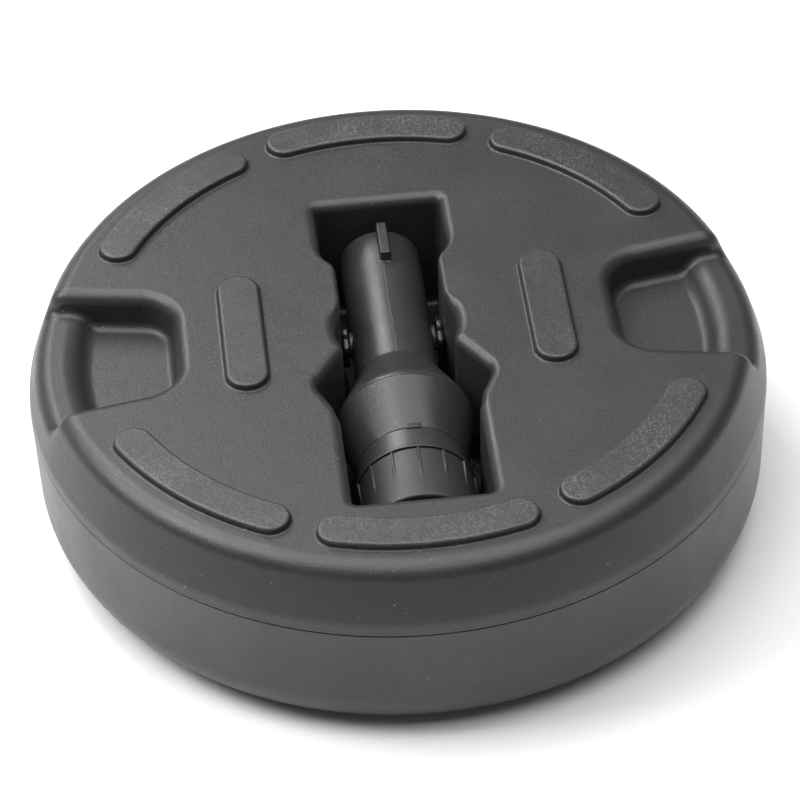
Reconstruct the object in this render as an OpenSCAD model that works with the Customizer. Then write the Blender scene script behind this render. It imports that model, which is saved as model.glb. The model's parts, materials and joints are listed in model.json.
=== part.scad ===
// Round parasol base that is filled with water or sand. It lies packed, upside
// down: the top face is on Z = 0, the feet point up, and the pole holder is
// stowed in the recess of the underside, along Y.

/* [Tank] */
// Outer diameter of the tank
tank_d = 500; // [494:1:520]
// Height of the tank without its feet
tank_h = 144; // [142:1:150]
// Height of the seam between the two mouldings
seam_z = 97.4; // [95:0.2:99]
// Wall thickness of both mouldings
wall = 3.6; // [3:0.2:4]
// Radius of the edge around the top face
top_edge_r = 39.4; // [34:0.2:40]
// Radius of the edge around the underside
under_edge_r = 14.4; // [11:0.2:17]
// Slope of the band between the seam and the underside, in degrees
band_slope = 70.8; // [69:0.2:73]

/* [Feet] */
// How far the feet stand out of the underside
foot_h = 5; // [3:0.5:7]
// Middle radius of the curved feet
arc_foot_r = 206.7; // [204:0.1:208]
// Width of the curved feet
arc_foot_w = 26.5; // [22:0.5:28]
// Angle that a curved foot covers between its end centres
arc_foot_span = 32.6; // [24:0.2:34]
// Width of the two straight feet
straight_foot_w = 29; // [20:0.5:32]
// Length of the two straight feet
straight_foot_len = 114; // [80:1:120]
// Distance of the straight feet from the middle
straight_foot_x = 103; // [92:1:112]

/* [Stowage recess] */
// Height of the recess floor above the top face
recess_floor_z = 47.4; // [45:0.2:47.6]
// Half the width of the recess at the mouth of the pole tube
recess_far_half = 45; // [42:0.5:48]
// Half the width of the recess beside the pole tube
recess_neck_half = 36.2; // [36.2:0.1:38]
// Half the width of the recess around the lock nut
recess_near_half = 47.5; // [47:0.5:50]
// Radius of the round well in the middle
well_r = 43; // [42:0.5:45]
// Half the width across the tips of the finger pockets
finger_tip_half = 61; // [57:0.5:64]

/* [Hand grips] */
// Height of the floor of each grip pocket
grip_floor_z = 117; // [114:0.5:120]
// Height of the grip bar along the rim
grip_bar_z = 128; // [126:0.5:131]
// Radius of the inner face of the grip bar
grip_bar_r = 209; // [205:0.5:212]
// Inner end of each grip pocket, from the middle
grip_inner_x = 149; // [146:0.5:152]

/* [Pole holder] */
// Outer radius of the pole tube
tube_r = 28.3; // [28:0.1:28.4]
// Radius of the bore for the pole
bore_r = 25.5; // [25:0.1:25.6]
// Radius of the rim that rests on the base
rim_r = 46; // [44:0.2:46]
// Height of the stowed holder's axis above the top face
axis_z = 94; // [93.8:0.1:94.4]
// Height of the locking key above the tube
key_h = 8; // [6:0.5:10]

/* [Lock nut] */
// Outer radius of the lock nut
nut_r = 39; // [38.4:0.1:39.6]
// Number of grip ribs on the lock nut
nut_ribs = 14; // [8:1:16]

/* [Clamp screws] */
// Distance of the clamp screws from the middle, along the tube
clamp_y = 35.5; // [30:0.5:38]
// Largest radius of a clamp knob
knob_r = 15.6; // [14:0.1:16.5]
// Thickness of a clamp knob
knob_t = 5; // [4.8:0.1:5.2]
// Number of lobes on a clamp knob
knob_lobes = 6; // [5:1:8]

/* [Filler] */
// Distance of the filler cap from the middle
filler_r = 160; // [150:1:165]
// Radius of the well that the filler cap sits in
filler_well_r = 31; // [28:0.5:33]
// Radius of the filler cap
cap_r = 21; // [20.4:0.1:22]

/* [Hidden] */

$fn = 96;
eps = 0.02;               // overlap that joins or clears touching faces
ARC_STEPS = 8;
FIT = 0.05;               // radial clearance of a running fit
LONG = 400;               // longer than anything it cuts

// Tank section
tank_r = tank_d / 2;
blend_r = 18;             // soft corner between the wall and the sloping band
blend_z = seam_z + 4.6;
wall_draft = 1.2;         // the wall leans in this much towards the top face
seam_step = 0.3;          // the top moulding stands back at the seam
band_lean = 90 - band_slope;
lap_h = 6;                // the top moulding's lip inside the seam
lap_t = 3;

// Centre socket that the holder's cone sits in when it is in use
socket_mouth_r = rim_r + 0.3;
socket_throat_r = 37.8;
socket_cone_h = 40;

// Recess lengths along Y
far_end_y = 130;
far_shoulder_y = 80;
neck_start_y = 66;
pocket_start_y = -17;
finger_tip_y = -54;
pocket_end_y = -84;
near_end_y = -172;

// Grip pocket plan
grip_corner_r = 20;
grip_half = 47.5;         // half width where the corners end
grip_flare = 16;          // how much wider it is beyond the rim
bar_inner_edge_r = 9;
bar_outer_edge_r = 12;
bar_proud = 0.4;          // lets the bar's edge cross the tank's side cleanly
bar_turn = 60;            // the bar is drawn over a wider arc than the pocket
grip_cut_h = 60;          // reaches from the pocket floor out of the underside

// Holder section, along Y
tube_end_y = 122;
cone_start_y = -7;
rim_start_y = -46;
rim_end_y = -53;
neck_y = -93;
spigot_y = -111;
holder_end_y = -150;
neck_r = 37.2;
cone_small_r = 38.2;
spigot_r = 36;
core_inner_r = 28.5;      // annular core that keeps the moulding thin
core_outer_r = 32.8;
core_top_y = -45;
bore_floor_y = -145;
drain_r = 6;
key_w = 7;
key_len = 33;
key_x = 2;

// Lock nut and washer
washer_t = 2.6;
washer_r = 40.2;
washer_gap = 0.2;
nut_gap = 0.6;
nut_start_y = spigot_y - washer_gap - washer_t - nut_gap;
nut_end_y = -159;
nut_lip_r = 33;           // lip that closes the nut's outer end in front of the spigot
nut_lip_t = 4;
first_rib = 3;            // angle of the first rib from the top
rib_w = 1.1;
rib_h = 1.2;
rib_len = 26;
rib_start_y = nut_start_y - 0.5;

// Clamp screws, along X
boss_r = 9;
boss_face_x = 30;
insert_hex_r = 7.5;
insert_t = 2.4;
stud_r = 4;
stud_in_x = 27.45;
stud_out_x = 34.3;
pilot_r = 2.5;
pilot_len = 1;
pad_r = 5.4;
pad_in_x = 25.55;
pad_out_x = 27.35;
pad_pocket_r = 5.6;
pad_pocket_x = 27.5;
knob_in_x = 30.6;
knob_relief_r = 9.6;
knob_relief_d = 1.8;
lobe_r = 4.4;

// Filler neck and cap, along Z
filler_angle = 45;
well_depth = 24;
neck_out_r = 17;
neck_in_r = 13.5;
filler_neck_len = 10;
neck_end_z = well_depth - filler_neck_len;
seal_t = 1;
cap_top_t = 2.5;
cap_skirt = 9.4;
cap_ribs = 18;
cap_rib_w = 2;
cap_rib_h = 1;

function arc(cx, cy, r, a0, a1) = [
    for (i = [0:ARC_STEPS])
        let (a = a0 + (a1 - a0) * i / ARC_STEPS)
            [cx + r * cos(a), cy + r * sin(a)]];

// Radius at which a flat at height z meets the rounded edge r above the sloping band
function edge_start(z, r) =
    ((tank_r - blend_r) * cos(band_lean) + (blend_z - z + r) * sin(band_lean) + blend_r - r)
    / cos(band_lean);

// Side of the tank from the seam up to a flat at height z, moved in by w
function band_side(z, r, w) = concat(
    arc(tank_r - blend_r, blend_z, blend_r - w, 0, band_lean),
    arc(edge_start(z, r), z - r, r - w, band_lean, 90));

function upper_side(w) = concat([[tank_r - w, seam_z]], band_side(tank_h, under_edge_r, w));

function lower_side(w) = concat(
    arc(tank_r - wall_draft - top_edge_r, top_edge_r, top_edge_r - w, -90, 0),
    [[tank_r - seam_step - w, seam_z]]);

function reverse(list) = [for (i = [len(list) - 1:-1:0]) list[i]];

// ---------- plans and cutters ----------

module both_sides() {
    children();
    mirror([1, 0]) children();
}

module both_ends_y() {
    children();
    mirror([0, 1]) children();
}

module both_x() {
    children();
    mirror([1, 0, 0]) children();
}

// Plan of the stowage recess, grown outwards by g
module recess_plan(g) {
    far = recess_far_half + g;
    neck = recess_neck_half + g;
    near = recess_near_half + g;
    translate([-far, far_shoulder_y - g])
        square([2 * far, far_end_y - far_shoulder_y + 2 * g]);
    polygon([
        [-far, far_shoulder_y - g], [far, far_shoulder_y - g],
        [neck, neck_start_y - g], [-neck, neck_start_y - g]
    ]);
    translate([-neck, 0])
        square([2 * neck, far_shoulder_y]);
    circle(r = well_r + g);
    both_sides()
        polygon([
            [0, pocket_start_y + g], [recess_neck_half + g / 2, pocket_start_y + g],
            [finger_tip_half + g, finger_tip_y], [near, pocket_end_y], [0, pocket_end_y]
        ]);
    translate([-near, near_end_y - g])
        square([2 * near, pocket_end_y - near_end_y + g + 1]);
}

// The recess itself, or with g = wall the pan that lines it
module recess(g) {
    translate([0, 0, recess_floor_z - g])
        linear_extrude(tank_h - recess_floor_z + g + (g > 0 ? -wall / 2 : 10))
            recess_plan(g);
}

module grip_plan(g) {
    corner = grip_inner_x + grip_corner_r;
    translate([grip_inner_x - g, grip_corner_r - grip_half])
        square([grip_corner_r + g + 1, 2 * (grip_half - grip_corner_r)]);
    both_ends_y()
        translate([corner, grip_half - grip_corner_r])
            circle(r = grip_corner_r + g);
    polygon([
        [corner, -grip_half - g], [tank_r + 10, -grip_half - grip_flare - g],
        [tank_r + 10, grip_half + grip_flare + g], [corner, grip_half + g]
    ]);
}

// Section of the grip bar, moved in by w. It reaches past the tank's side, so that
// only the bar's top and inner face are cut.
module grip_bar_section(w) {
    low_z = seam_z - 10;
    edge_z = grip_bar_z - bar_outer_edge_r;
    edge_x = edge_start(grip_bar_z, bar_outer_edge_r) + bar_proud;
    edge_end_z = edge_z + (bar_outer_edge_r - w) * sin(band_lean);
    inner_x = grip_bar_r + bar_inner_edge_r;
    polygon(concat(
        [[grip_bar_r + w, low_z], [tank_r + 20, low_z], [tank_r + 20, edge_end_z]],
        arc(edge_x, edge_z, bar_outer_edge_r - w, band_lean, 90),
        arc(inner_x, grip_bar_z - bar_inner_edge_r, bar_inner_edge_r - w, 90, 180)));
}

// Space above one grip pocket and its bar, or with g = wall their lining as well
module grip_cutter(g) {
    difference() {
        translate([0, 0, grip_floor_z - g])
            linear_extrude(grip_cut_h)
                grip_plan(g);
        rotate([0, 0, -bar_turn / 2])
            rotate_extrude(angle = bar_turn)
                grip_bar_section(g);
    }
}

module tank_upper_solid() {
    rotate_extrude($fn = 180)
        polygon(concat([[0, seam_z]], upper_side(0), [[0, tank_h]]));
}

// ---------- tank ----------

// Outline of a curved foot that lies across +X
function arc_foot_outline() =
    let (half_w = arc_foot_w / 2, turn = arc_foot_span / 2,
         end_x = arc_foot_r * cos(turn), end_y = arc_foot_r * sin(turn))
    concat(
        arc(0, 0, arc_foot_r + half_w, -turn, turn),
        arc(end_x, end_y, half_w, turn + 15, turn + 165),
        arc(0, 0, arc_foot_r - half_w, turn, -turn),
        arc(end_x, -end_y, half_w, 195 - turn, 345 - turn));

module arc_foot(angle) {
    rotate([0, 0, angle])
        linear_extrude(foot_h + 1)
            polygon(arc_foot_outline());
}

module straight_foot() {
    run = straight_foot_len - straight_foot_w;
    translate([-straight_foot_w / 2, -run / 2, 0])
        cube([straight_foot_w, run, foot_h + 1]);
    for (end = [-run / 2, run / 2])
        translate([0, end, 0])
            cylinder(r = straight_foot_w / 2, h = foot_h + 1);
}

module feet() {
    for (angle = [45, 90, 135, 225, 270, 315])
        arc_foot(angle);
    both_x()
        translate([straight_foot_x, 0, 0])
            straight_foot();
}

module underside_skin() {
    rotate_extrude($fn = 180)
        polygon(concat(
            upper_side(0), [[0, tank_h], [0, tank_h - wall]], reverse(upper_side(wall))));
}

module underside_shell() {
    color("dimgray")
    difference() {
        union() {
            underside_skin();
            recess(wall);
            both_x()
                intersection() {
                    grip_cutter(wall);
                    tank_upper_solid();
                }
            translate([0, 0, tank_h - 1])
                feet();
        }
        recess(0);
        both_x()
            grip_cutter(0);
        translate([0, 0, recess_floor_z - wall - 1])
            cylinder(r = socket_throat_r, h = wall + 2);
    }
}

module top_skin() {
    rotate_extrude($fn = 180)
        polygon(concat([[0, 0]], lower_side(0), reverse(lower_side(wall)), [[0, wall]]));
}

module lap_lip() {
    outer = tank_r - wall - 0.1;
    rotate_extrude($fn = 180)
        translate([outer - lap_t, seam_z - 8])
            square([lap_t, lap_h + 8]);
    rotate_extrude($fn = 180)
        translate([outer - lap_t, seam_z - 8])
            square([lap_t + 1, 6]);
}

// Centre socket from height low up to the recess floor, grown outwards by g
module socket_space(g, low) {
    roof = recess_floor_z - wall;
    below = low < 0 ? [[0, low], [socket_mouth_r + g, low]] : [[0, 0]];
    rotate_extrude()
        polygon(concat(below, [
            [socket_mouth_r + g, 0], [socket_throat_r + g, socket_cone_h],
            [socket_throat_r + g, roof], [0, roof]
        ]));
}

module at_filler() {
    rotate([0, 0, filler_angle])
        translate([filler_r, 0, 0])
            children();
}

// Ring around Z between two radii
module ring(outer, inner, z0, z1) {
    difference() {
        translate([0, 0, z0])
            cylinder(r = outer, h = z1 - z0);
        translate([0, 0, z0 - 1])
            cylinder(r = inner, h = z1 - z0 + 2);
    }
}

module top_shell() {
    color("dimgray")
    difference() {
        union() {
            top_skin();
            lap_lip();
            socket_space(wall, 0);
            at_filler()
                cylinder(r = filler_well_r + wall, h = well_depth + wall);
        }
        socket_space(0, -1);
        at_filler() {
            translate([0, 0, -1])
                cylinder(r = filler_well_r, h = neck_end_z + 1);
            ring(filler_well_r, neck_out_r, neck_end_z - eps, well_depth);
            cylinder(r = neck_in_r, h = well_depth + wall + 1);
        }
    }
}

// ---------- filler ----------

module filler_seal() {
    color([0.08, 0.08, 0.08])
    at_filler()
        ring(neck_out_r - 0.2, neck_in_r, neck_end_z - seal_t, neck_end_z);
}

module cap_plan() {
    circle(r = cap_r);
    for (i = [0:cap_ribs - 1])
        rotate([0, 0, 360 * i / cap_ribs])
            translate([cap_r - 1, -cap_rib_w / 2])
                square([1 + cap_rib_h, cap_rib_w]);
}

module filler_cap() {
    disc_z = neck_end_z - seal_t;
    color([0.2, 0.2, 0.2])
    at_filler()
        difference() {
            translate([0, 0, disc_z - cap_top_t])
                linear_extrude(cap_top_t + cap_skirt)
                    cap_plan();
            translate([0, 0, disc_z])
                cylinder(r = neck_out_r + FIT, h = LONG);
        }
}

// ---------- pole holder ----------

// Turns a section drawn as (radius, place along Y) about the holder's axis
module about_holder_axis() {
    translate([0, 0, axis_z])
        rotate([-90, 0, 0])
            rotate_extrude()
                children();
}

// Turns Z into the clamp screw's axis, with 0 on the holder's axis
module along_clamp() {
    translate([0, clamp_y, axis_z])
        rotate([0, 90, 0])
            children();
}

module holder_section() {
    polygon([
        [0, holder_end_y], [spigot_r - FIT, holder_end_y], [spigot_r - FIT, spigot_y],
        [neck_r, spigot_y], [neck_r, neck_y], [cone_small_r, neck_y],
        [rim_r, rim_end_y], [rim_r, rim_start_y], [tube_r, cone_start_y],
        [tube_r, tube_end_y], [0, tube_end_y]
    ]);
}

module pole_holder() {
    color([0.3, 0.3, 0.3])
    difference() {
        union() {
            about_holder_axis()
                holder_section();
            translate([key_x - key_w / 2, tube_end_y - key_len, axis_z + bore_r + 1])
                cube([key_w, key_len, tube_r + key_h - bore_r - 1]);
            both_x()
                along_clamp()
                    translate([0, 0, bore_r - 2])
                        cylinder(r = boss_r, h = boss_face_x - bore_r + 2);
        }
        about_holder_axis() {
            translate([0, bore_floor_y])
                square([bore_r, LONG]);
            translate([core_inner_r, holder_end_y - 1])
                square([core_outer_r - core_inner_r, core_top_y - holder_end_y + 1]);
            translate([0, holder_end_y - 1])
                square([drain_r, LONG]);
        }
        both_x()
            along_clamp() {
                cylinder(r = pad_pocket_r, h = pad_pocket_x + 1);
                translate([0, 0, pad_pocket_x])
                    cylinder(r = insert_hex_r, h = LONG, $fn = 6);
            }
    }
}

module nut_washer() {
    outer_y = spigot_y - washer_gap - washer_t;
    color([0.28, 0.28, 0.28])
    about_holder_axis()
        translate([spigot_r + FIT, outer_y])
            square([washer_r - spigot_r - FIT, washer_t]);
}

module nut_rib() {
    translate([-rib_w / 2, 0, 0])
        rotate([90, 0, 90])
            linear_extrude(rib_w)
                polygon([
                    [rib_start_y, nut_r - 1], [rib_start_y, nut_r + rib_h],
                    [rib_start_y - rib_len, nut_r - 0.1], [rib_start_y - rib_len, nut_r - 1]
                ]);
}

module lock_nut() {
    color([0.3, 0.3, 0.3])
    union() {
        about_holder_axis()
            polygon([
                [nut_lip_r, nut_end_y], [nut_r, nut_end_y], [nut_r, nut_start_y],
                [spigot_r, nut_start_y], [spigot_r, nut_end_y + nut_lip_t],
                [nut_lip_r, nut_end_y + nut_lip_t]
            ]);
        translate([0, 0, axis_z])
            for (i = [0:nut_ribs - 1])
                rotate([0, first_rib + 360 * i / nut_ribs, 0])
                    nut_rib();
    }
}

// ---------- clamp screws, drawn for the +X side ----------

module clamp_insert() {
    color("goldenrod")
    along_clamp()
        difference() {
            translate([0, 0, boss_face_x - insert_t])
                cylinder(r = insert_hex_r, h = insert_t, $fn = 6);
            cylinder(r = stud_r + FIT, h = LONG);
        }
}

module clamp_stud() {
    color("silver")
    along_clamp() {
        translate([0, 0, stud_in_x])
            cylinder(r = stud_r, h = stud_out_x - stud_in_x);
        translate([0, 0, stud_in_x - pilot_len])
            cylinder(r = pilot_r, h = pilot_len + eps);
    }
}

module clamp_pad() {
    color([0.1, 0.1, 0.1])
    along_clamp()
        difference() {
            translate([0, 0, pad_in_x])
                cylinder(r = pad_r, h = pad_out_x - pad_in_x);
            translate([0, 0, stud_in_x - pilot_len - 0.1])
                cylinder(r = pilot_r + FIT, h = LONG);
        }
}

module knob_plan() {
    circle(r = knob_r - lobe_r + 1);
    for (i = [0:knob_lobes - 1])
        rotate([0, 0, 360 * i / knob_lobes])
            translate([knob_r - lobe_r, 0])
                circle(r = lobe_r);
}

module clamp_knob() {
    color([0.12, 0.12, 0.12])
    along_clamp()
        difference() {
            translate([0, 0, knob_in_x])
                linear_extrude(knob_t)
                    knob_plan();
            cylinder(r = knob_relief_r, h = knob_in_x + knob_relief_d);
            cylinder(r = stud_r, h = stud_out_x);
        }
}

underside_shell();
top_shell();
filler_cap();
filler_seal();
pole_holder();
nut_washer();
lock_nut();
clamp_insert();  // clamp_insert_right
clamp_stud();  // clamp_stud_right
clamp_pad();  // clamp_pad_right
clamp_knob();  // clamp_knob_right
mirror([1, 0, 0]) clamp_insert();  // clamp_insert_left
mirror([1, 0, 0]) clamp_stud();  // clamp_stud_left
mirror([1, 0, 0]) clamp_pad();  // clamp_pad_left
mirror([1, 0, 0]) clamp_knob();  // clamp_knob_left
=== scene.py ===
"""Looks of a round, fillable parasol base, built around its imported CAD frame.

The base lies upside down, as packed: feet up, pole holder stowed in the recess along Y.
The two tank mouldings and the pole holder are drawn as distance fields in millimetres, so
that every edge is a true fillet. Each field becomes a quad net that is pulled onto the
field's zero level, thinned out, and shaded with the field's own normals. The turned pieces
are lathed from rounded sections. All colour, grain and wear is in the node materials.
"""

import json
import math

import bpy
import numpy as np
from mathutils import Matrix, Vector

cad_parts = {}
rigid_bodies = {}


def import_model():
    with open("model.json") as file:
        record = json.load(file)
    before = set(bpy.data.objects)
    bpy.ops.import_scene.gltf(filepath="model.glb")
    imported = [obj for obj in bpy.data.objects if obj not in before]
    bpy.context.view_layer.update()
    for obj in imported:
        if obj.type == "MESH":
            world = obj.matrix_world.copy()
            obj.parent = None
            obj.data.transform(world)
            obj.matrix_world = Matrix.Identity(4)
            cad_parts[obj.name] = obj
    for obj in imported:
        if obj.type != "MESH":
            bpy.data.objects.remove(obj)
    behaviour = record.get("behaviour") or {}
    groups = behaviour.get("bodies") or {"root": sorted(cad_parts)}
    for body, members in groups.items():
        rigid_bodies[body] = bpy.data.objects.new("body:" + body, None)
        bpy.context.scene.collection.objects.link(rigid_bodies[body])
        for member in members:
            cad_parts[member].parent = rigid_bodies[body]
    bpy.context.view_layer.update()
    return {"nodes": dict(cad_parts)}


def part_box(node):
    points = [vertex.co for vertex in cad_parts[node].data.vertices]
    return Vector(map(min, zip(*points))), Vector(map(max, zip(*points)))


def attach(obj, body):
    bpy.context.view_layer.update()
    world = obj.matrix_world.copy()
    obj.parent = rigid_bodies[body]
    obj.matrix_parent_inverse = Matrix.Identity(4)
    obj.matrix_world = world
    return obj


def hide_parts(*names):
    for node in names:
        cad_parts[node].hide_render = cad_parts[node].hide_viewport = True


for leftover in list(bpy.data.objects):
    bpy.data.objects.remove(leftover)

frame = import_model()
MM = 0.001


def span(node):
    """The lowest and highest corner of a CAD node, in millimetres."""
    low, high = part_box(node)
    return np.array(low) / MM, np.array(high) / MM


# ---------- sizes in millimetres, from the CAD nodes where they show in a node's box ----------

SHELL_HIGH = span("underside_shell")[1]
HOLDER_LOW, HOLDER_HIGH = span("pole_holder")
NUT_LOW, NUT_HIGH = span("lock_nut")
WASHER_LOW, WASHER_HIGH = span("nut_washer")
CAP_LOW, CAP_HIGH = span("filler_cap")
KNOB_LOW, KNOB_HIGH = span("clamp_knob_right")
STUD_LOW, STUD_HIGH = span("clamp_stud_right")

# Tank: outline of its section
TANK_R = SHELL_HIGH[0]
FOOT_TOP = SHELL_HIGH[2]
FOOT_HEIGHT = 5.0
FLAT_Z = FOOT_TOP - FOOT_HEIGHT
SEAM_Z = 97.4
BAND_LEAN = math.radians(19.2)
UNDER_EDGE_R = 14.4
UNDER_EDGE_AT = 226.2
TOP_EDGE_R = 39.4
TOP_EDGE_AT = 209.4
BLEND_R = 18.0
BLEND_ABOVE_SEAM = 4.6
WALL = 3.6

# Seam: the lip and the step back above it that fades out, and where each moulding ends
SEAM_INSET = 0.2
SEAM_LIP = 1.4
SEAM_FADE = (6.0, 22.0)
UNDERSIDE_END_Z = SEAM_Z + 0.05
TOP_END_Z = SEAM_Z - 0.45
TOP_INSET = 0.1

# Stowage recess: half widths, ends, and the corners of its outline
RECESS_FLOOR = 47.4
RECESS_FAR = 43.6
RECESS_NECK = 35.4
RECESS_NEAR = 46.0
RECESS_END_FAR = 128.4
RECESS_END_NEAR = -171.0
SHOULDER_NECK_Y, SHOULDER_FAR_Y = 65, 77
NECK_RUN_Y = 80
FINGER_FAR = (36, -19)
FINGER_TIP = (59.2, -54.0)
FINGER_NEAR_Y = -82.5
POCKET_Y = (-84, -17)
NEAR_START_Y = -76.5
WELL_R = 41.4
RECESS_DRAFT = 0.008
CORNER_R, NEAR_CORNER_R, POCKET_BLEND_R = 4, 5, 7
RECESS_FLOOR_R = 5
RECESS_EDGE_R, NECK_EDGE_R, PAN_EDGE_R = 7.0, 3.0, 1.0
RECESS_EDGE_DEPTH = 20
NECK_EDGE_MIDDLE_Y, NECK_EDGE_HALF, NECK_EDGE_FADE = 44, 18, 16

# Pan that lines the recess: how far it laps the skin, and the top moulding's gap around it
PAN_LAP = 6
PAN_SIDE_GAP, PAN_FLOOR_GAP = 0.4, 0.3

# Centre socket: radii at its mouth and throat, height of the cone between them
SOCKET_MOUTH = 46.3
SOCKET_THROAT = 37.8
SOCKET_CONE = 40.0
SOCKET_SLOPE = (SOCKET_MOUTH - SOCKET_THROAT) / SOCKET_CONE

# Hand grips
GRIP_FLOOR = 117.0
GRIP_FLOOR_R = 6
GRIP_BAR_TOP = 128.0
GRIP_BAR_R = 210.5
GRIP_BAR_EDGE_R = 14
GRIP_BAR_FILLET_R = 5
GRIP_BAR_DRAFT = 0.12
GRIP_END = 149.0
GRIP_CORNER = 20.0
GRIP_HALF = 47.5
GRIP_MOUTH_R = 260
GRIP_MOUTH_HALF = GRIP_HALF + 16
GRIP_DRAFT = 0.07
GRIP_DRAFT_FROM_Z = 130
GRIP_EDGE_R = 8.5

# Feet
ARC_FOOT_R = 206.7
ARC_FOOT_HALF = 13.25
ARC_FOOT_TURN = math.radians(16.3)
STRAIGHT_FOOT_X = 103.0
STRAIGHT_FOOT_RUN = 42.5
STRAIGHT_FOOT_HALF = 14.5
FOOT_DRAFT = 0.12
FOOT_EDGE_R = 1.8
FOOT_FILLET_R = 1.2
FOOT_ROOT = 3

# Pole holder, along Y about the stowed axis
AXIS_Z = (NUT_LOW[2] + NUT_HIGH[2]) / 2
TUBE_R = 28.3
BORE_R = 25.5
RIM_R = 46.0
MOUTH_Y = HOLDER_HIGH[1]
HOLDER_END_Y = HOLDER_LOW[1]
CONE_Y = -7.0
RIM_Y = -46.0
RIM_END_Y = -53.0
NECK_Y = -93.0
SPIGOT_Y = -111.0
NECK_R = 37.2
CONE_END_R = 37.8
SPIGOT_R = 35.95
STEP_LAP = 4
CORE_IN, CORE_OUT, CORE_Y = 28.5, 32.8, -45.0
BORE_FLOOR_Y = -145.0
DRAIN_R = 6.0
KEY_X, KEY_HALF, KEY_Y, KEY_TOP = 2.0, 3.5, 89.0, 36.3
TAB_X, TAB_HALF, TAB_HEIGHT, TAB_RUN = 1.6, 5, 0.7, 3.5
CLAMP_Y = (KNOB_LOW[1] + KNOB_HIGH[1]) / 2
BOSS_R, BOSS_X = 9.0, 30.0
PAD_HOLE_R, PAD_HOLE_X = 5.6, 20
INSERT_HOLE_R, INSERT_HOLE_X = 6.9, 27.5

# Lock nut, knobs and filler cap
NUT_R = 39.0
NUT_LIP_R = 33.0
NUT_LIP_T = 4
RIBS = 14
FIRST_RIB = math.radians(3 - 90)
RIB_RUN = 26.0
RIB_SETBACK = 0.5
KNOB_R = KNOB_HIGH[2] - AXIS_Z
KNOB_BORE_R = 4.05
KNOB_HUB_R = 9.6
LOBES = 6
LOBE_DEPTH = 2.6
THREAD_PITCH = 1.25
CAP_R = 21.0
CAP_BORE_R = 17.05
CAP_TOP_T = 2.5
CAP_RIBS = 18
CAP_FIRST_RIB = math.radians(45)

# Filler well
FILLER_X = (CAP_LOW[0] + CAP_HIGH[0]) / 2
FILLER_Y = (CAP_LOW[1] + CAP_HIGH[1]) / 2
FILLER_WELL_R = 31.0
FILLER_DEPTH = 24.0
FILLER_NECK_OUT, FILLER_NECK_IN, FILLER_NECK_Z = 17.0, 13.5, 14.0

# ---------- distance fields: negative inside the material ----------


def both(a, b, r):
    """What is inside both a and b, with the edge between them rounded to r."""
    return np.minimum(-r, np.maximum(a, b)) + np.hypot(
        np.maximum(a + r, 0), np.maximum(b + r, 0)
    )


def either(a, b, r):
    """What is inside a or b, with the corner between them filled to r."""
    return -both(-a, -b, r)


def rect(x, y, half_x, y0, y1, r):
    """A rectangle across the Y axis, with corners rounded to r."""
    dx = np.abs(x) - half_x + r
    dy = np.abs(y - (y0 + y1) / 2) - (y1 - y0) / 2 + r
    return (
        np.minimum(np.maximum(dx, dy), 0)
        + np.hypot(np.maximum(dx, 0), np.maximum(dy, 0))
        - r
    )


def right_of(x, y, a, b):
    """Distance to the right of the line from a to b."""
    run, rise = b[0] - a[0], b[1] - a[1]
    return ((x - a[0]) * rise - (y - a[1]) * run) / math.hypot(run, rise)


def fillet(u, v, r, a0, a1, flat):
    """flat, or the circle of radius r about u = v = 0 where the angle is from a0 to a1."""
    inside = (u * -math.sin(a0) + v * math.cos(a0) > 0) & (
        u * math.sin(a1) - v * math.cos(a1) > 0
    )
    return np.where(inside, np.hypot(u, v) - r, flat)


def tank_field(x, y, z):
    """The whole tank as one solid, without feet, recess or grips."""
    R = np.hypot(x, y)
    lean_x, lean_z = math.cos(BAND_LEAN), math.sin(BAND_LEAN)
    blend_at = TANK_R - BLEND_R
    blend_z = SEAM_Z + BLEND_ABOVE_SEAM
    band = (R - blend_at) * lean_x + (z - blend_z) * lean_z - BLEND_R
    upper = np.maximum(band, R - TANK_R)
    upper = fillet(R - blend_at, z - blend_z, BLEND_R, 0, BAND_LEAN, upper)
    upper = fillet(
        R - UNDER_EDGE_AT,
        z - (FLAT_Z - UNDER_EDGE_R),
        UNDER_EDGE_R,
        BAND_LEAN,
        math.pi / 2,
        np.maximum(upper, z - FLAT_Z),
    )
    draft = right_of(
        R, z, (TOP_EDGE_AT + TOP_EDGE_R, TOP_EDGE_R), (TANK_R, SEAM_Z)
    )
    lower = fillet(
        R - TOP_EDGE_AT,
        z - TOP_EDGE_R,
        TOP_EDGE_R,
        -math.pi / 2,
        0,
        np.maximum(draft, -z),
    )
    near_seam = np.where(z < SEAM_Z, np.maximum(upper, draft), upper)
    return np.where(z > SEAM_Z - 20, near_seam, lower)


def recess_walls(x, y, z):
    """Drafted walls of the stowage recess, mirrored about X = 0."""
    x = np.abs(x)
    shoulder = right_of(x, y, (RECESS_NECK, SHOULDER_NECK_Y), (RECESS_FAR, SHOULDER_FAR_Y))
    far = both(both(x - RECESS_FAR, shoulder, CORNER_R), y - RECESS_END_FAR, CORNER_R)
    neck = np.maximum(x - RECESS_NECK, np.maximum(-y, y - NECK_RUN_Y))
    outline = either(far, neck, CORNER_R)
    outline = either(outline, np.hypot(x, y) - WELL_R, NEAR_CORNER_R)
    pocket = both(
        right_of(x, y, FINGER_TIP, FINGER_FAR),
        right_of(x, y, (RECESS_NEAR, FINGER_NEAR_Y), FINGER_TIP),
        CORNER_R,
    )
    pocket = np.maximum(pocket, np.maximum(y - POCKET_Y[1], POCKET_Y[0] - y))
    near = rect(x, y, RECESS_NEAR, RECESS_END_NEAR, NEAR_START_Y, NEAR_CORNER_R)
    outline = either(outline, either(pocket, near, POCKET_BLEND_R), CORNER_R)
    return outline + RECESS_DRAFT * (FLAT_Z - z)


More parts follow.
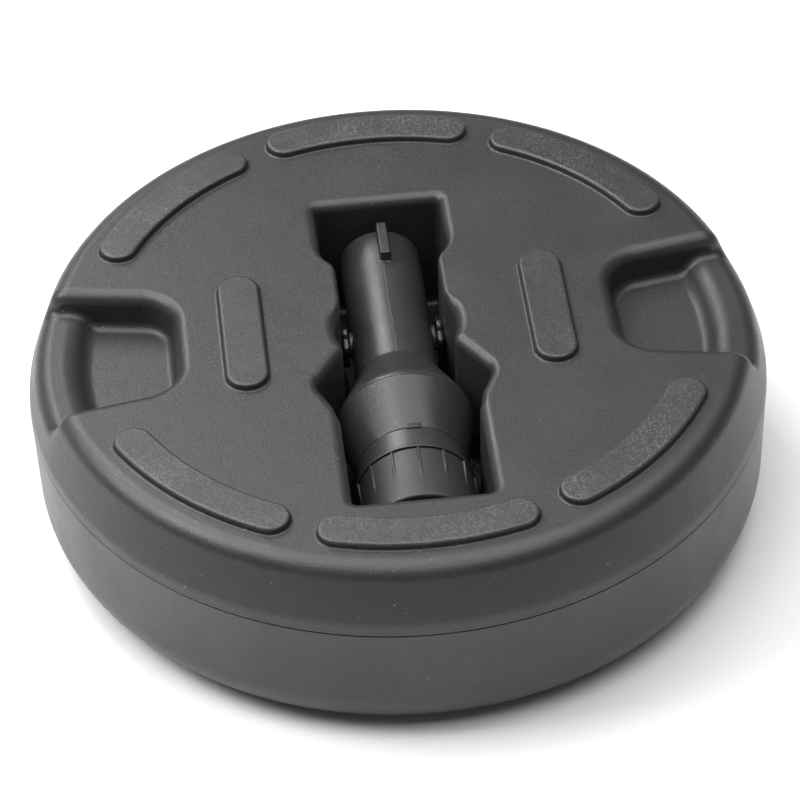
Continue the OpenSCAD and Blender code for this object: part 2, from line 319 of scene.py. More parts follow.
def recess_edge_r(y, z):
    """Radius of the recess's upper edge, smaller beside the clamp knobs and deeper down."""
    wide = (np.abs(y - NECK_EDGE_MIDDLE_Y) - NECK_EDGE_HALF) / NECK_EDGE_FADE
    wide = np.clip(wide, 0, 1)
    r = NECK_EDGE_R + (RECESS_EDGE_R - NECK_EDGE_R) * wide**2 * (3 - 2 * wide)
    return np.where(z > FLAT_Z - RECESS_EDGE_DEPTH, r, PAN_EDGE_R)


def grip_space(x, y, z):
    """Both grip notches, without the bars that cross them."""
    x, y = np.abs(x), np.abs(y)
    inner_corner = (GRIP_END + GRIP_CORNER, GRIP_HALF)
    side = right_of(x, y, (GRIP_MOUTH_R, GRIP_MOUTH_HALF), inner_corner)
    plan = both(GRIP_END - x, side, GRIP_CORNER) - GRIP_DRAFT * (z - GRIP_DRAFT_FROM_Z)
    return both(plan, GRIP_FLOOR - z, GRIP_FLOOR_R)


def feet_plan(x, y):
    """Six curved feet and two straight ones."""
    x, y = np.abs(x), np.abs(y)
    straight = np.hypot(x - STRAIGHT_FOOT_X, np.maximum(y - STRAIGHT_FOOT_RUN, 0))
    found = straight - STRAIGHT_FOOT_HALF
    for turn in (math.pi / 4, math.pi / 2):
        u = x * math.cos(turn) + y * math.sin(turn)
        v = np.abs(y * math.cos(turn) - x * math.sin(turn))
        end = np.hypot(
            u - ARC_FOOT_R * math.cos(ARC_FOOT_TURN),
            v - ARC_FOOT_R * math.sin(ARC_FOOT_TURN),
        )
        middle = np.abs(np.hypot(u, v) - ARC_FOOT_R)
        within = v * math.cos(ARC_FOOT_TURN) < u * math.sin(ARC_FOOT_TURN)
        found = np.minimum(found, np.where(within, middle, end) - ARC_FOOT_HALF)
    return found


def underside_field(x, y, z):
    """The moulding with the feet, the recess and its pan, and both grips."""
    R = np.hypot(x, y)
    bar = GRIP_BAR_R - R + GRIP_BAR_DRAFT * (z - GRIP_FLOOR)
    bar = both(bar, z - GRIP_BAR_TOP, GRIP_BAR_EDGE_R)
    keep = either(-grip_space(x, y, z), bar, GRIP_BAR_FILLET_R)
    above_seam = z - SEAM_Z
    inset = SEAM_INSET * np.clip((above_seam - SEAM_LIP) / SEAM_LIP, 0, 1)
    inset = inset * np.clip((SEAM_FADE[1] - above_seam) / (SEAM_FADE[1] - SEAM_FADE[0]), 0, 1)
    skin = both(tank_field(x, y, z) + inset, UNDERSIDE_END_Z - z, 0.5)
    skin = both(skin, keep, GRIP_EDGE_R)
    foot = both(feet_plan(x, y) + FOOT_DRAFT * (z - FLAT_Z), z - FOOT_TOP, FOOT_EDGE_R)
    skin = either(skin, np.maximum(foot, FLAT_Z - FOOT_ROOT - z), FOOT_FILLET_R)
    recess = both(recess_walls(x, y, z), RECESS_FLOOR - z, RECESS_FLOOR_R)
    pan = np.maximum(recess - WALL, RECESS_FLOOR - WALL - z)
    skin = np.minimum(skin, np.maximum(pan, z - SEAM_Z - PAN_LAP))
    skin = both(skin, -recess, recess_edge_r(y, z))
    hole = np.maximum(R - SOCKET_THROAT, z - RECESS_FLOOR - 4)
    return both(skin, -hole, 1)


def top_field(x, y, z):
    """The moulding that the base lies on, with the centre socket and the filler well."""
    R = np.hypot(x, y)
    tank = tank_field(x, y, z)
    solid = both(tank + TOP_INSET, z - TOP_END_Z, 0.7)
    pan = recess_walls(x, y, z) - WALL - PAN_SIDE_GAP
    pan = np.maximum(pan, RECESS_FLOOR - WALL - PAN_FLOOR_GAP - z)
    solid = np.maximum(solid, -pan)
    cone = (R - SOCKET_MOUTH + SOCKET_SLOPE * z) / math.hypot(1, SOCKET_SLOPE)
    socket = np.minimum(cone, R - SOCKET_THROAT)
    solid = both(solid, -socket, 2)
    r = np.hypot(x - FILLER_X, y - FILLER_Y)
    well = both(r - FILLER_WELL_R, z - FILLER_DEPTH, 2)
    neck = both(r - FILLER_NECK_OUT, FILLER_NECK_Z - z, 0.8)
    neck = either(-well, np.maximum(neck, z - FILLER_DEPTH - 2), 1)
    solid = both(solid, neck, 1.5)
    return np.maximum(solid, -np.maximum(r - FILLER_NECK_IN, z - FILLER_DEPTH - 10))


def holder_field(x, y, z):
    """Pole tube, key, bosses, flared cone, rim, neck and spigot about the stowed axis."""
    z = z - AXIS_Z
    R = np.hypot(x, z)
    above = (z > 0) & (y < KEY_Y + STEP_LAP)
    wander = 0.15 * np.sin(y * 0.11) + 0.1 * np.sin(y * 0.31)
    seam = 0.09 * np.exp(-(((x - 0.3 - wander) / 0.5) ** 2)) * above
    tube = both(R - TUBE_R - seam, y - MOUTH_Y, 0.9)
    tube = np.maximum(tube, RIM_Y - y)
    flare = right_of(R, y, (RIM_R, RIM_Y), (TUBE_R, CONE_Y)) - seam
    flare = both(both(flare, R - RIM_R, 0.8), RIM_END_Y - y, 0.8)
    body = either(tube, np.maximum(flare, y - 20), 0.8)
    cone = right_of(R, y, (CONE_END_R, NECK_Y), (RIM_R, RIM_END_Y))
    cone = both(np.maximum(cone, y + 50), NECK_Y - y, 0.5)
    tab = both(R - CONE_END_R - TAB_HEIGHT, np.abs(x - TAB_X) - TAB_HALF, 0.5)
    tab = both(tab, y - NECK_Y - TAB_RUN, 0.5)
    cone = np.minimum(cone, np.maximum(np.maximum(tab, NECK_Y - 0.8 - y), -z))
    body = np.minimum(body, cone)
    neck = both(R - NECK_R, SPIGOT_Y - y, 0.5)
    body = np.minimum(body, np.maximum(neck, y - NECK_Y - STEP_LAP))
    spigot = both(R - SPIGOT_R, HOLDER_END_Y - y, 0.8)
    body = np.minimum(body, np.maximum(spigot, y - SPIGOT_Y - STEP_LAP))
    boss = both(np.hypot(y - CLAMP_Y, z) - BOSS_R, np.abs(x) - BOSS_X, 0.8)
    body = either(body, boss, 0.5)
    key = rect(x - KEY_X, y, KEY_HALF, KEY_Y, MOUTH_Y, 1.2)
    key = both(key, z - KEY_TOP, 0.9)
    body = either(body, np.maximum(key, TUBE_R - 3 - z), 1.2)
    bore = np.maximum(R - BORE_R, BORE_FLOOR_Y - y)
    body = both(body, -bore, 0.7)
    core = np.maximum(np.maximum(R - CORE_OUT, CORE_IN - R), y - CORE_Y)
    body = np.maximum(body, -core)
    from_clamp = np.hypot(y - CLAMP_Y, z)
    pad_hole = np.maximum(from_clamp - PAD_HOLE_R, PAD_HOLE_X - np.abs(x))
    insert_hole = np.maximum(from_clamp - INSERT_HOLE_R, INSERT_HOLE_X - np.abs(x))
    drain = R - DRAIN_R
    return np.maximum(body, -np.minimum(np.minimum(pad_hole, insert_hole), drain))


# ---------- from a field to a mesh ----------


def steps(low, high, step, fine=()):
    """Grid places from low to high, a step apart, and closer in each (from, to, step) of fine."""
    places = [low]
    while places[-1] < high:
        here = places[-1]
        size = min([step] + [s for a, b, s in fine if a - step < here < b])
        places.append(here + size)
    return np.array(places)


def surface_net(field, axes):
    """Vertices and quads of the field's zero level."""
    f = field(axes[0][:, None, None], axes[1][None, :, None], axes[2][None, None, :])
    f = f.astype(np.float32)
    inside = f < 0
    nx, ny, nz = (len(a) - 1 for a in axes)
    corners = [(i, j, k) for i in (0, 1) for j in (0, 1) for k in (0, 1)]
    count = np.zeros((nx, ny, nz), np.int8)
    for i, j, k in corners:
        count += inside[i : i + nx, j : j + ny, k : k + nz]
    active = (count > 0) & (count < 8)
    cells = np.argwhere(active)
    number = np.full(active.shape, -1, np.int32)
    number[active] = np.arange(len(cells))
    total = np.zeros((len(cells), 3))
    hits = np.zeros(len(cells))
    for a in corners:
        for axis in range(3):
            if a[axis]:
                continue
            b = list(a)
            b[axis] = 1
            ia, ib = (cells + a).T, (cells + b).T
            fa, fb = f[tuple(ia)], f[tuple(ib)]
            cross = (fa < 0) != (fb < 0)
            t = np.where(cross, fa / np.where(cross, fa - fb, 1), 0)
            at = np.stack([axes[n][ia[n]] for n in range(3)], 1).astype(float)
            at[:, axis] += t * (axes[axis][ib[axis]] - axes[axis][ia[axis]])
            total[cross] += at[cross]
            hits[cross] += 1
    quads = []
    for axis in range(3):
        b, c = (axis + 1) % 3, (axis + 2) % 3
        lower = [slice(1, -1)] * 3
        upper = [slice(1, -1)] * 3
        lower[axis], upper[axis] = slice(0, -1), slice(1, None)
        change = inside[tuple(lower)] != inside[tuple(upper)]
        outwards = inside[tuple(lower)][change]
        at = np.argwhere(change)
        at[:, b] += 1
        at[:, c] += 1
        around = []
        for back_b, back_c in ((1, 1), (0, 1), (0, 0), (1, 0)):
            cell = at.copy()
            cell[:, b] -= back_b
            cell[:, c] -= back_c
            around.append(number[tuple(cell.T)])
        around = np.stack(around, 1)
        around[~outwards] = around[~outwards][:, ::-1]
        quads.append(around)
    return total / hits[:, None], np.concatenate(quads)


def at_points(field, points):
    """The field's values at the points."""
    return field(points[:, 0], points[:, 1], points[:, 2])


def slope(field, points, step):
    """The field's gradient at the points."""
    found = np.empty_like(points)
    for axis in range(3):
        shift = np.zeros(3)
        shift[axis] = step
        rise = at_points(field, points + shift) - at_points(field, points - shift)
        found[:, axis] = rise / (2 * step)
    return found


def pull(field, points, reach, rounds=3):
    """The points moved onto the field's zero level."""
    for _ in range(rounds):
        grad = slope(field, points, 0.05)
        size = np.maximum((grad**2).sum(1), 0.3)
        move = np.clip(at_points(field, points) / size, -reach, reach)
        points = points - grad * move[:, None]
    return points


def edge_wear_and_highlight(field, points):
    """1 on tight outer edges, 0 on flats and in hollows: the mask that pales worn edges and paints a
    highlight on them.
    """
    h = 1.5
    sharpest = 0.25
    bend = -6 * at_points(field, points)
    for axis in range(3):
        shift = np.zeros(3)
        shift[axis] = h
        bend = bend + at_points(field, points + shift) + at_points(field, points - shift)
    return np.clip(bend / h**2 / sharpest, 0, 1)


def new_mesh(name, points, quads):
    """A mesh object from points in millimetres and rows of four corner numbers."""
    mesh = bpy.data.meshes.new(name)
    mesh.vertices.add(len(points))
    mesh.vertices.foreach_set("co", (points * MM).astype(np.float32).ravel())
    mesh.loops.add(quads.size)
    mesh.loops.foreach_set("vertex_index", quads.astype(np.int32).ravel())
    mesh.polygons.add(len(quads))
    mesh.polygons.foreach_set(
        "loop_start", np.arange(0, quads.size, quads.shape[1], dtype=np.int32)
    )
    mesh.update(calc_edges=True)
    mesh.validate()
    obj = bpy.data.objects.new(name, mesh)
    bpy.context.scene.collection.objects.link(obj)
    return obj


def thinned(obj, ratio):
    """The object with its flat areas in fewer, larger triangles."""
    less = obj.modifiers.new("less", "DECIMATE")
    less.ratio = ratio
    graph = bpy.context.evaluated_depsgraph_get()
    mesh = bpy.data.meshes.new_from_object(obj.evaluated_get(graph))
    obj.modifiers.clear()
    old, obj.data = obj.data, mesh
    bpy.data.meshes.remove(old)
    return obj


def field_object(name, field, axes, triangles):
    """A mesh object of the field with exact normals and an edge attribute."""
    points, quads = surface_net(field, axes)
    reach = float(np.diff(axes[0]).max())
    obj = new_mesh(name, pull(field, points, reach), quads)
    if 2 * len(quads) > triangles:
        thinned(obj, triangles / (2 * len(quads)))
    mesh = obj.data
    places = np.empty(len(mesh.vertices) * 3, np.float32)
    mesh.vertices.foreach_get("co", places)
    points = pull(field, places.reshape(-1, 3).astype(float) / MM, 0.4, rounds=2)
    mesh.vertices.foreach_set("co", (points * MM).astype(np.float32).ravel())
    # Edge mask for the materials: worn, whitened edges and a painted highlight on them.
    worn_and_highlit = mesh.attributes.new("edge", "FLOAT", "POINT")
    worn_and_highlit.data.foreach_set("value", edge_wear_and_highlight(field, points).astype(np.float32))
    normals = slope(field, points, 0.15)
    normals /= np.maximum(np.linalg.norm(normals, axis=1), 1e-6)[:, None]
    mesh.polygons.foreach_set("use_smooth", np.ones(len(mesh.polygons), bool))
    mesh.normals_split_custom_set_from_vertices(normals.tolist())
    mesh.update()
    return obj


# ---------- turned pieces ----------


def rounded(corners, smooth=5):
    """A closed section from (radius, place, corner radius) corners."""
    out = []
    n = len(corners)
    for i, (r, s, bend) in enumerate(corners):
        here = np.array([r, s], float)
        before = np.array(corners[i - 1][:2], float) - here
        after = np.array(corners[(i + 1) % n][:2], float) - here
        la, lb = np.linalg.norm(before), np.linalg.norm(after)
        before, after = before / la, after / lb
        half = math.acos(float(np.clip(before @ after, -1, 1))) / 2
        cut = min(bend / math.tan(half) if bend else 0, 0.49 * la, 0.49 * lb)
        if cut < 1e-6:
            out.append(here)
            continue
        p0, p2 = here + before * cut, here + after * cut
        for t in np.linspace(0, 1, smooth + 1):
            out.append((1 - t) ** 2 * p0 + 2 * t * (1 - t) * here + t**2 * p2)
    return np.array(out)


def about(origin, axis):
    """Where to turn a section: two directions across the axis, the axis, and its origin."""
    along = Vector(axis).normalized()
    start = Vector((1, 0, 0)) if abs(along.x) < 0.5 else Vector((0, 1, 0))
    across = (start - along * start.dot(along)).normalized()
    other = along.cross(across)
    return np.array(across), np.array(other), np.array(along), np.array(origin, float)


def spin(name, section, where, turns, swell=None):
    """A closed section turned about an axis, with swell(turn, radius, place) added to its radius."""
    across, other, along, origin = where
    turns = np.asarray(turns)
    r = np.broadcast_to(section[None, :, 0], (len(turns), len(section)))
    s = np.broadcast_to(section[None, :, 1], r.shape)
    if swell is not None:
        r = r + swell(turns[:, None], r, s)
    points = (
        origin
        + (r * np.cos(turns)[:, None])[..., None] * across
        + (r * np.sin(turns)[:, None])[..., None] * other
        + s[..., None] * along
    )
    m, n = r.shape
    i, j = np.meshgrid(np.arange(m), np.arange(n), indexing="ij")
    i2, j2 = (i + 1) % m, (j + 1) % n
    quads = np.stack([i * n + j, i2 * n + j, i2 * n + j2, i * n + j2], -1).reshape(-1, 4)
    obj = new_mesh(name, points.reshape(-1, 3), quads)
    obj.data.polygons.foreach_set("use_smooth", np.ones(len(obj.data.polygons), bool))
    obj.data.update()
    if signed_volume(obj.data) < 0:
        obj.data.flip_normals()
    obj.data.set_sharp_from_angle(angle=math.radians(38))
    return obj


def signed_volume(mesh):
    """Six times the mesh's volume, negative if the faces point inwards."""
    mesh.calc_loop_triangles()
    tris = np.empty(len(mesh.loop_triangles) * 3, np.int32)
    mesh.loop_triangles.foreach_get("vertices", tris)
    co = np.empty(len(mesh.vertices) * 3, np.float32)
    mesh.vertices.foreach_get("co", co)
    co = co.reshape(-1, 3).astype(float)
    a, b, c = (co[tris[n::3]] for n in range(3))
    return float(np.einsum("ij,ij->", a, np.cross(b, c)))


def turned_from_rib(turns, count, first):
    """The angle from the nearest of count evenly spaced ribs, the first of them at first."""
    pitch = 2 * math.pi / count
    return (((turns - first) / pitch + 0.5) % 1 - 0.5) * pitch


def rib_turns(count, first, offsets):
    """Angles that hold each rib's own offsets, in order."""
    pitch = 2 * math.pi / count
    return sorted(first + rib * pitch + offset for rib in range(count) for offset in offsets)


# ---------- materials ----------


class Nodes:
    """A short way to write a node material."""

    def __init__(self, name):
        self.material = bpy.data.materials.new(name)
        self.material.use_nodes = True
        self.tree = self.material.node_tree
        self.shader = self.tree.nodes["Principled BSDF"]
        self.places = self.add("ShaderNodeTexCoord").outputs["Object"]

    def add(self, kind, inputs=None, **settings):
        """A new node with its settings, and its inputs linked or set."""
        node = self.tree.nodes.new(kind)
        for key, value in settings.items():
            setattr(node, key, value)
        for key, value in (inputs or {}).items():
            if isinstance(value, bpy.types.NodeSocket):
                self.tree.links.new(value, node.inputs[key])
            else:
                node.inputs[key].default_value = value
        return node

    def stretched(self, x, y, z, turn=0.0):
        """Object coordinates scaled by x, y, z and turned about Z."""
        return self.add(
            "ShaderNodeMapping",
            {"Vector": self.places, "Scale": (x, y, z), "Rotation": (0, 0, turn)},
        ).outputs[0]

    def noise(self, scale, detail=2.0, rough=0.5, places=None):
        """Noise of scale cells per metre, in object coordinates unless places are given."""
        return self.add(
            "ShaderNodeTexNoise",
            {
                "Vector": places or self.places,
                "Scale": scale,
                "Detail": detail,
                "Roughness": rough,
            },
        ).outputs["Fac"]

    def ramp(self, value, low, high, to_low=0.0, to_high=1.0):
        """value taken from the range low..high to the range to_low..to_high, clamped."""
        return self.add(
            "ShaderNodeMapRange",
            {0: value, 1: low, 2: high, 3: to_low, 4: to_high},
        ).outputs[0]

    def math(self, how, a, b=0.0):
        """a and b put together by a Math node's operation."""
        return self.add("ShaderNodeMath", {0: a, 1: b}, operation=how).outputs[0]

    def mix(self, share, a, b):
        """Colour a with a share of colour b over it."""
        return self.add(
            "ShaderNodeMix", {0: share, 6: a, 7: b}, data_type="RGBA"
        ).outputs[2]

    def bump(self, height, distance, strength=1.0, below=None):
        """A normal from a height, on top of the normal below."""
        inputs = {"Height": height, "Distance": distance, "Strength": strength}
        if below is not None:
            inputs["Normal"] = below
        return self.add("ShaderNodeBump", inputs).outputs[0]

    def edge(self):
        """The mesh's own edge mask, as field_object() stored it, for worn edges and their painted
        highlight.
        """
        return self.add("ShaderNodeAttribute", attribute_name="edge").outputs["Fac"]

    def set(self, **sockets):
        """Links or sets the shader's sockets, with _ for a space in their names."""
        for key, value in sockets.items():
            socket = self.shader.inputs[key.replace("_", " ")]
            if isinstance(value, bpy.types.NodeSocket):
                self.tree.links.new(value, socket)
            else:
                socket.default_value = value


def grey(value):
    return (value, value, value, 1)


def foot_scuffs(n):
    """Chalky scuffs on the tops of the feet, fainter on the two straight ones."""
    specks = n.ramp(n.noise(700, 5, 0.7), 0.5, 0.72)
    rubbed = n.ramp(n.noise(620, 4, 0.65, n.stretched(1, 0.3, 1, 0.9)), 0.54, 0.72)
    patches = n.ramp(n.noise(24, 4, 0.6), 0.36, 0.66, 0.2)
    chalk = n.math("MAXIMUM", specks, n.math("MULTIPLY", rubbed, 0.6))
    chalk = n.math("MULTIPLY", chalk, patches)
    height = n.add("ShaderNodeSeparateXYZ", {0: n.places}).outputs[2]
    tops = n.ramp(height, (FOOT_TOP - 1.6) * MM, (FOOT_TOP - 0.3) * MM)
    from_middle = n.add("ShaderNodeVectorMath", {0: n.places}, operation="LENGTH")
    outer = n.ramp(from_middle.outputs["Value"], 0.17, 0.23, 0.25, 1)
    return n.math("MULTIPLY", n.math("MULTIPLY", chalk, tops), outer)


def moulded(name, tone, rough, grain=1.0, feet=False, edge=0.5):
    """Semi-matte moulded polyethylene: fine grain, cloudy tone, scratches, and pale edges that are
    partly wear and partly a painted highlight.
    """
    n = Nodes(name)
    cloud = n.ramp(n.noise(7, 3), 0.3, 0.7)
    cloud = n.mix(cloud, grey(tone * 0.93), grey(tone * 1.07))
    speckle = n.ramp(n.noise(1100, 2, 0.6), 0.3, 0.7)
    speckle = n.mix(speckle, grey(tone * 0.75), grey(tone * 1.35))
    patch = n.ramp(n.noise(38, 4, 0.6), 0.45, 0.75, 0, 0.35)
    colour = n.mix(patch, n.mix(0.6, cloud, speckle), grey(tone * 1.16))
    along = n.ramp(n.noise(60, 2, 0.4, n.stretched(1, 9, 1, 0.5)), 0.68, 0.74)
    across = n.ramp(n.noise(50, 2, 0.4, n.stretched(10, 1, 1, 0.25)), 0.7, 0.76)
    where = n.ramp(n.noise(9, 2), 0.5, 0.68)
    scratches = n.math("MULTIPLY", n.math("MAXIMUM", along, across), where)
    colour = n.mix(n.math("MULTIPLY", scratches, 0.2), colour, grey(tone * 3.5))
    dust = n.ramp(n.noise(430, 2, 0.5), 0.71, 0.76, 0, 0.5)
    colour = n.mix(dust, colour, grey(0.2))
    # Outer edges made paler: partly worn, whitened plastic, partly a painted highlight where the
    # rounded edges catch the light.
    worn_and_highlit = n.math("MULTIPLY", n.edge(), n.ramp(n.noise(30, 3, 0.7), 0.35, 0.7, 0.35, 1))
    colour = n.mix(n.math("MULTIPLY", worn_and_highlit, edge), colour, grey(tone * 1.9))
    roughness = n.ramp(n.noise(22, 4, 0.6), 0.3, 0.7, rough - 0.05, rough + 0.06)
    if feet:
        chalk = foot_scuffs(n)
        colour = n.mix(n.math("MULTIPLY", chalk, 0.48), colour, grey(0.3))
        roughness = n.math("ADD", roughness, n.math("MULTIPLY", chalk, 0.2))
    peel = n.bump(n.noise(140, 2), 0.0004 * grain, 0.35)
    fine = n.bump(n.noise(900, 3, 0.65), 0.0003 * grain, 0.75, peel)
    n.set(Base_Color=colour, Roughness=roughness, Normal=fine, IOR=1.5)
    return n.material


def gloss(name, tone):
    """Glossy injection-moulded plastic with faint swirls and dust."""
    n = Nodes(name)
    dust = n.ramp(n.noise(420, 4, 0.7), 0.6, 0.8, 0, 0.25)
    colour = n.mix(dust, grey(tone), grey(tone * 3))
    roughness = n.ramp(n.noise(160, 3), 0.3, 0.7, 0.14, 0.26)
    bump = n.bump(n.noise(220, 2), 0.0003, 0.3)
    n.set(Base_Color=colour, Roughness=roughness, Normal=bump, IOR=1.5)
    return n.material


def metal(name, colour, rough, line_scale):
    """Turned metal with fine tool lines and a few dull spots."""
    n = Nodes(name)
    lines = n.noise(line_scale, 3, 0.5, n.stretched(18, 1, 1))
    tone = n.mix(
        n.ramp(n.noise(180, 4), 0.35, 0.75),
        (*colour, 1),
        (*[c * 0.7 for c in colour], 1),
    )
    n.set(
        Base_Color=tone,
        Metallic=1.0,
        Roughness=n.ramp(lines, 0.3, 0.7, rough, rough + 0.15),
        Normal=n.bump(lines, 0.0002, 0.4),
    )
    return n.material


def rubber(name, tone):
    """Matte rubber with a powdery bloom."""
    n = Nodes(name)
    bloom = n.ramp(n.noise(300, 5, 0.7), 0.4, 0.8)
    colour = n.mix(bloom, grey(tone), grey(tone * 2.2))
    bump = n.bump(n.noise(900, 3), 0.0002, 0.5)
    n.set(Base_Color=colour, Roughness=0.8, Normal=bump, IOR=1.45)
    return n.material


def pale_floor():
    """Matte studio floor."""
    n = Nodes("pale_floor")
    tone = n.mix(n.ramp(n.noise(2, 3), 0.3, 0.7), grey(0.86), grey(0.9))
    n.set(Base_Color=tone, Roughness=0.9, Normal=n.bump(n.noise(260, 3), 0.0003, 0.1))
    return n.material


TANK = moulded("tank_plastic", 0.02, 0.38, feet=True)
TANK_TOP = moulded("tank_plastic_top", 0.02, 0.38)
HOLDER = moulded("holder_plastic", 0.022, 0.34, grain=0.6, edge=0.35)
NUT = moulded("nut_plastic", 0.02, 0.44, grain=1.0, edge=0.35)
CAP = moulded("cap_plastic", 0.02, 0.34, grain=0.6, edge=0.35)
KNOB = gloss("knob_plastic", 0.008)
STEEL = metal("stud_steel", (0.55, 0.56, 0.58), 0.25, 700)
BRASS = metal("insert_brass", (0.09, 0.07, 0.045), 0.5, 500)
RUBBER = rubber("seal_rubber", 0.02)


def finished(obj, material, body, slot, *nodes):
    """Gives a piece its material and body, and lets it stand for its CAD nodes; slot is not used."""
    obj.data.materials.append(material)
    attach(obj, body)
    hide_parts(*nodes)
    return obj


# ---------- camera ----------

CAMERA_AT = Vector((-0.15127, -1.88013, 1.78141))
CAMERA_AIM = Vector((0.00091, -0.00007, 0.07208))
CAMERA_ROLL = math.radians(-2.186)

back = (CAMERA_AT - CAMERA_AIM).normalized()
level = Vector((0, 0, 1)).cross(back).normalized()
turn = Matrix.Rotation(CAMERA_ROLL, 3, back)
right = turn @ level
up = back.cross(right)
lens = bpy.data.cameras.new("camera")
lens.lens = 167.25
lens.sensor_width = 36
lens.clip_end = 50
camera = bpy.data.objects.new("camera", lens)
bpy.context.scene.collection.objects.link(camera)
camera.matrix_world = Matrix.Translation(CAMERA_AT) @ Matrix(
    (right, up, back)
).transposed().to_4x4()
bpy.context.scene.camera = camera

# ---------- the tank ----------

cell = 1.3
edge_of_grid = TANK_R + 3
plan = steps(-edge_of_grid, edge_of_grid, cell)
seam_fine = (SEAM_Z - 1, SEAM_Z + 3, 0.45)
foot_fine = (FLAT_Z - 1, FOOT_TOP + 1, 0.7)
underside = field_object(
    "underside",
    underside_field,
    (plan, plan, steps(RECESS_FLOOR - WALL - 3, FOOT_TOP + 3, cell, (seam_fine, foot_fine))),
    170000,
)
finished(underside, TANK, "tank", "tank_plastic", "underside_shell")

cell = 1.9
plan = steps(-edge_of_grid, edge_of_grid, cell)
top = field_object(
    "top",
    top_field,
    (plan, plan, steps(-3, SEAM_Z + 3, cell, ((SEAM_Z - 3, SEAM_Z + 1, 0.45),))),
    90000,
)
finished(top, TANK_TOP, "tank", "tank_plastic", "top_shell")

# ---------- the pole holder ----------

cell = 0.95
creases = [(y - 2, y + 2, 0.5) for y in (NECK_Y, RIM_END_Y, RIM_Y, CONE_Y, SPIGOT_Y)]
holder = field_object(
    "holder",
    holder_field,
    (
        steps(-RIM_R - 2, RIM_R + 2, cell, ((-2, 7, cell / 2),)),
        steps(HOLDER_END_Y - 3, MOUTH_Y + 3, cell, creases),
        steps(AXIS_Z - RIM_R - 2, AXIS_Z + RIM_R + 2, cell),
    ),
    110000,
)
finished(holder, HOLDER, "holder", "holder_plastic", "pole_holder")

holder_axis = about((0, 0, AXIS_Z), (0, 1, 0))
plain_turns = np.linspace(0, 2 * math.pi, 192, endpoint=False)
washer = spin(
    "slip_washer",
    rounded(
        [
            (SPIGOT_R + 0.1, WASHER_LOW[1], 0.2),
            (WASHER_HIGH[0], WASHER_LOW[1], 0.8),
            (WASHER_HIGH[0], WASHER_HIGH[1], 0.8),
            (SPIGOT_R + 0.1, WASHER_HIGH[1], 0.2),
        ]
    ),
    holder_axis,
    plain_turns,
)
finished(washer, HOLDER, "washer", "holder_plastic", "nut_washer")


def nut_ribs(turns, r, s):
    """Ribs that run out along the nut."""
    off = turned_from_rib(turns, RIBS, FIRST_RIB) * NUT_R
    side = np.clip((1.0 - np.abs(off)) / 0.45, 0, 1)
    along = np.clip(1 - (NUT_HIGH[1] - RIB_SETBACK - s) / RIB_RUN, 0, 1)
    outer = (r > NUT_R - 0.6) & (s > NUT_LOW[1] + 1)
    return 1.2 * side * np.minimum(along * 1.1, 1) * outer


near_rib = (-1.05, -0.95, -0.75, -0.55, -0.45, 0, 0.45, 0.55, 0.75, 0.95, 1.05)
between_ribs = np.linspace(0.09, 0.91, 9) * 2 * math.pi / RIBS
nut_offsets = [place / NUT_R for place in near_rib] + list(between_ribs)
nut_bore = SPIGOT_R + 0.05
nut_lip_end = NUT_LOW[1] + NUT_LIP_T
nut_section = [(NUT_LIP_R, NUT_LOW[1], 0.8), (NUT_R, NUT_LOW[1], 2.2)]
nut_section += [(NUT_R, s, 0) for s in np.linspace(NUT_LOW[1] + 5, NUT_HIGH[1] - 1.5, 14)]
nut_section += [(NUT_R, NUT_HIGH[1], 0.6), (nut_bore, NUT_HIGH[1], 0.3)]
nut_section += [(nut_bore, nut_lip_end, 0.3), (NUT_LIP_R, nut_lip_end, 0.5)]
nut = spin(
    "ribbed_lock_nut",
    rounded(nut_section),
    holder_axis,
    rib_turns(RIBS, FIRST_RIB, nut_offsets),
    nut_ribs,
)
finished(nut, NUT, "nut", "holder_plastic", "lock_nut")

# ---------- clamp screws ----------


def lobed(turns, r, s):
    """Draws the knob's outer rings in between its rounded lobes."""
    off = turned_from_rib(turns, LOBES, math.pi / LOBES)
    wave = (1 + np.cos(off * LOBES)) / 2
    share = np.clip((r - 9) / 4, 0, 1)
    return -LOBE_DEPTH * (1 - wave**0.8) * share


def knob_section(near, far):
    """Hub relief, rounded rim and dished face of a knob from near to far along its axis."""
    return rounded(
        [
            (KNOB_BORE_R, near + 1.8, 0),
            (KNOB_HUB_R, near + 1.8, 0.2),
            (KNOB_HUB_R, near, 0.2),
            (KNOB_R, near, 1.2),
            (KNOB_R, far - 0.6, 1.9),
            (10.5, far - 0.6, 0.5),
            (9.3, far - 1.3, 0.6),
            (5.2, far - 1.3, 0.3),
            (KNOB_BORE_R, far - 1.8, 0.3),
        ],
        smooth=6,
    )


def stud_section(near, far):
    """Threaded stud: a rounded tip, and a ridge at every thread pitch."""
    corners = [(0.05, near, 0), (2.5, near, 0.3), (2.5, near + 1, 0.1), (3.6, near + 1, 0.1)]
    for s in np.arange(near + 1.5, far - 0.8, THREAD_PITCH):
        corners += [(4.0, s, 0.15), (3.55, s + 0.6, 0.15)]
    return rounded(corners + [(3.6, far, 0.3), (0.05, far, 0)], smooth=3)


for side, sign in (("right", 1), ("left", -1)):
    clamp_axis = about((0, CLAMP_Y, AXIS_Z), (sign, 0, 0))
    knob = spin(
        "clamp_knob_" + side + "_moulded",
        knob_section(KNOB_LOW[0], KNOB_HIGH[0]),
        clamp_axis,
        plain_turns,
        lobed,
    )
    finished(knob, KNOB, "knob_" + side, "knob_plastic", "clamp_knob_" + side)
    stud = spin(
        "clamp_stud_" + side + "_threaded",
        stud_section(STUD_LOW[0], STUD_HIGH[0]),
        clamp_axis,
        plain_turns[::4],
    )
    finished(stud, STEEL, "knob_" + side, "stud_steel", "clamp_stud_" + side)

# ---------- filler cap ----------


def cap_ribs(turns, r, s):
    """Grip ribs around the cap's skirt."""
    off = turned_from_rib(turns, CAP_RIBS, CAP_FIRST_RIB) * CAP_R
    return np.clip((1.3 - np.abs(off)) / 0.6, 0, 1) * (r > CAP_R - 0.6)


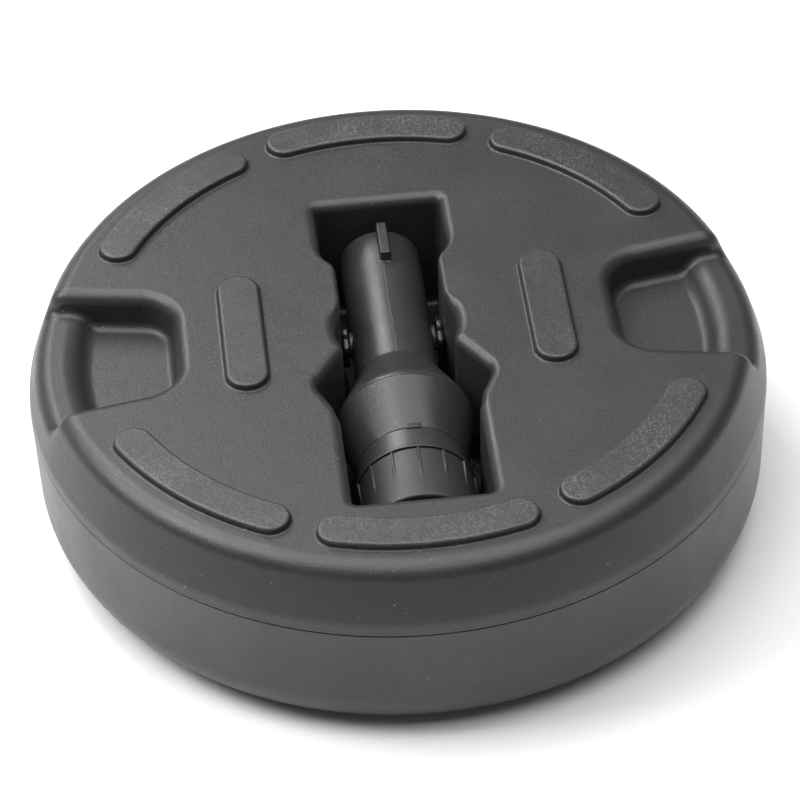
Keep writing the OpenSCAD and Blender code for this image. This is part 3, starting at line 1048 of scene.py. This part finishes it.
cap_offsets = np.array((-1.35, -1.0, -0.7, 0, 0.7, 1.0, 1.35, 2.4, 3.6, 4.8)) / CAP_R
cap = spin(
    "ribbed_filler_cap",
    rounded(
        [
            (0.05, CAP_LOW[2] + 0.5, 0),
            (12.0, CAP_LOW[2] + 0.5, 0.4),
            (12.7, CAP_LOW[2], 0.4),
            (20.6, CAP_LOW[2], 0.9),
            (CAP_R, CAP_LOW[2] + 1.2, 0.5),
            (CAP_R, CAP_HIGH[2], 0.5),
            (CAP_BORE_R, CAP_HIGH[2], 0.3),
            (CAP_BORE_R, CAP_LOW[2] + CAP_TOP_T, 0.2),
            (0.05, CAP_LOW[2] + CAP_TOP_T, 0),
        ]
    ),
    about((FILLER_X, FILLER_Y, 0), (0, 0, 1)),
    rib_turns(CAP_RIBS, CAP_FIRST_RIB, cap_offsets),
    cap_ribs,
)
finished(cap, CAP, "cap", "holder_plastic", "filler_cap")

# ---------- CAD nodes whose own shape is right ----------

for node, material in (
    ("clamp_insert_right", BRASS),
    ("clamp_insert_left", BRASS),
    ("clamp_pad_right", RUBBER),
    ("clamp_pad_left", RUBBER),
    ("filler_seal", RUBBER),
):
    kept = frame["nodes"][node]
    kept.data.materials.clear()
    kept.data.materials.append(material)

# ---------- floor and light ----------

floor = new_mesh(
    "floor",
    np.array([(-9000, -9000, 0), (9000, -9000, 0), (9000, 9000, 0), (-9000, 9000, 0)], float),
    np.array([(0, 1, 2, 3)]),
)
floor.data.materials.append(pale_floor())


def soft_light(name, place, aim, width, depth, power):
    """A rectangular lamp at a place, turned to its aim."""
    lamp = bpy.data.lights.new(name, "AREA")
    lamp.shape = "RECTANGLE"
    lamp.size, lamp.size_y = width, depth
    lamp.energy = power
    obj = bpy.data.objects.new(name, lamp)
    bpy.context.scene.collection.objects.link(obj)
    obj.location = place
    obj.rotation_euler = (Vector(aim) - Vector(place)).to_track_quat("-Z", "Y").to_euler()


soft_light("key_left", (-1.7, 0.1, 1.9), (0, 0, 0.1), 1.2, 1.2, 48)
soft_light("back_left", (-0.95, 1.9, 2.0), (0, 0, 0.1), 1.0, 1.2, 38)
soft_light("overhead", (0.1, 0.0, 2.4), (0, 0, 0), 3.0, 3.0, 92)

world = bpy.data.worlds.new("studio")
world.use_nodes = True
world.node_tree.nodes["Background"].inputs[0].default_value = (1, 1, 1, 1)
world.node_tree.nodes["Background"].inputs[1].default_value = 0.1
bpy.context.scene.world = world
bpy.context.scene.view_settings.view_transform = "Standard"

bpy.context.view_layer.update()
